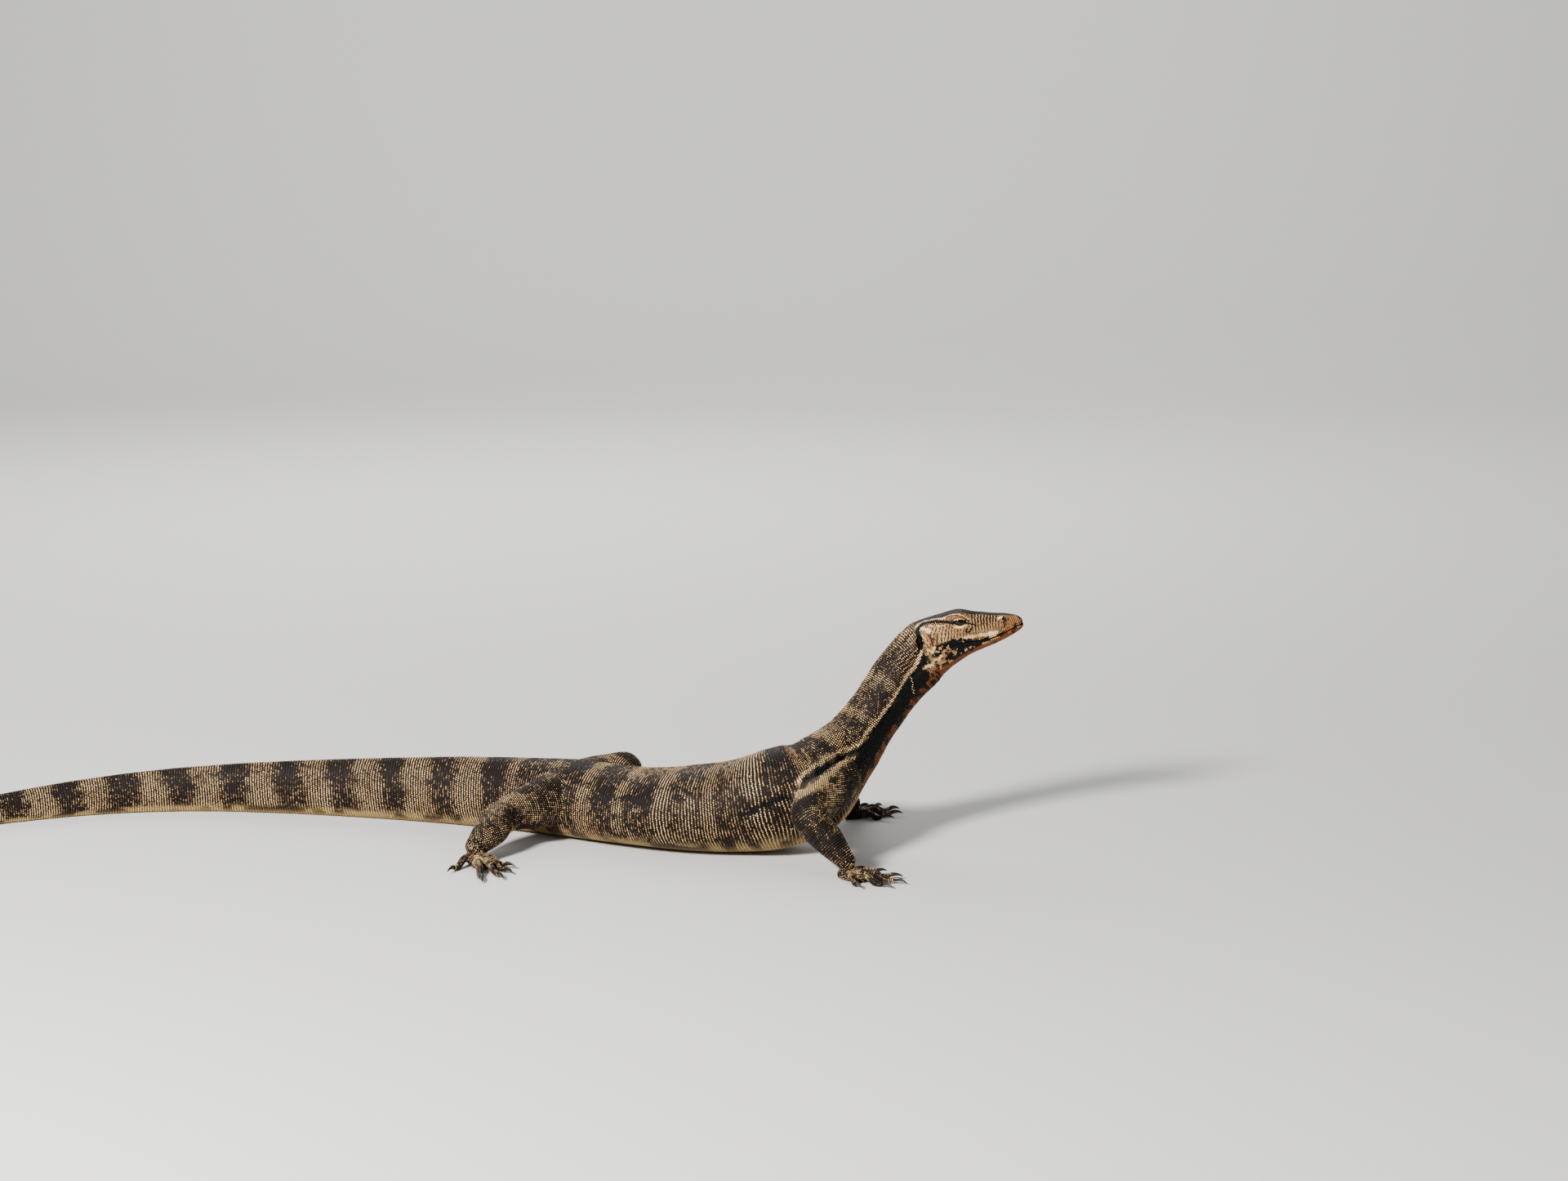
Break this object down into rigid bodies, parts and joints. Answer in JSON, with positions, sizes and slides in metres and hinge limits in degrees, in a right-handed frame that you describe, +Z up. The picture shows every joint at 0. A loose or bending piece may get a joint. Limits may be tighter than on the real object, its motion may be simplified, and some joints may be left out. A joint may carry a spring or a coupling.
{
  "type": "water monitor lizard",
  "caption": "Life-size still model of a water monitor lizard lying on its belly, neck and head raised, legs bent and the long flattened tail trailing in a lazy curve.",
  "frame": {"origin": "on the floor under the middle of the belly", "axes": "+X towards the head, +Y to the animal's left, +Z up"},
  "size_m": [1.351, 0.3983, 0.2316],
  "materials": {
    "hide": "satin scaly hide",
    "horn": "dark horn",
    "eye": "wet gloss"
  },
  "bodies": {
    "root": {"head": "hide", "lower_jaw": "hide", "neck": "hide", "torso": "hide", "tail_root": "hide", "tail_middle": "hide", "tail_tip": "hide", "right_fore_upper": "hide", "right_fore_lower": "hide", "right_fore_hand": "hide", "left_fore_upper": "hide", "left_fore_lower": "hide", "left_fore_hand": "hide", "right_hind_upper": "hide", "right_hind_lower": "hide", "right_hind_foot": "hide", "left_hind_upper": "hide", "left_hind_lower": "hide", "left_hind_foot": "hide", "right_fore_claw_1": "horn", "right_fore_claw_2": "horn", "right_fore_claw_3": "horn", "right_fore_claw_4": "horn", "right_fore_claw_5": "horn", "left_fore_claw_1": "horn", "left_fore_claw_2": "horn", "left_fore_claw_3": "horn", "left_fore_claw_4": "horn", "left_fore_claw_5": "horn", "right_hind_claw_1": "horn", "right_hind_claw_2": "horn", "right_hind_claw_3": "horn", "right_hind_claw_4": "horn", "right_hind_claw_5": "horn", "left_hind_claw_1": "horn", "left_hind_claw_2": "horn", "left_hind_claw_3": "horn", "left_hind_claw_4": "horn", "left_hind_claw_5": "horn", "eye_left": "eye", "eye_right": "eye"}
  },
  "joints": []
}
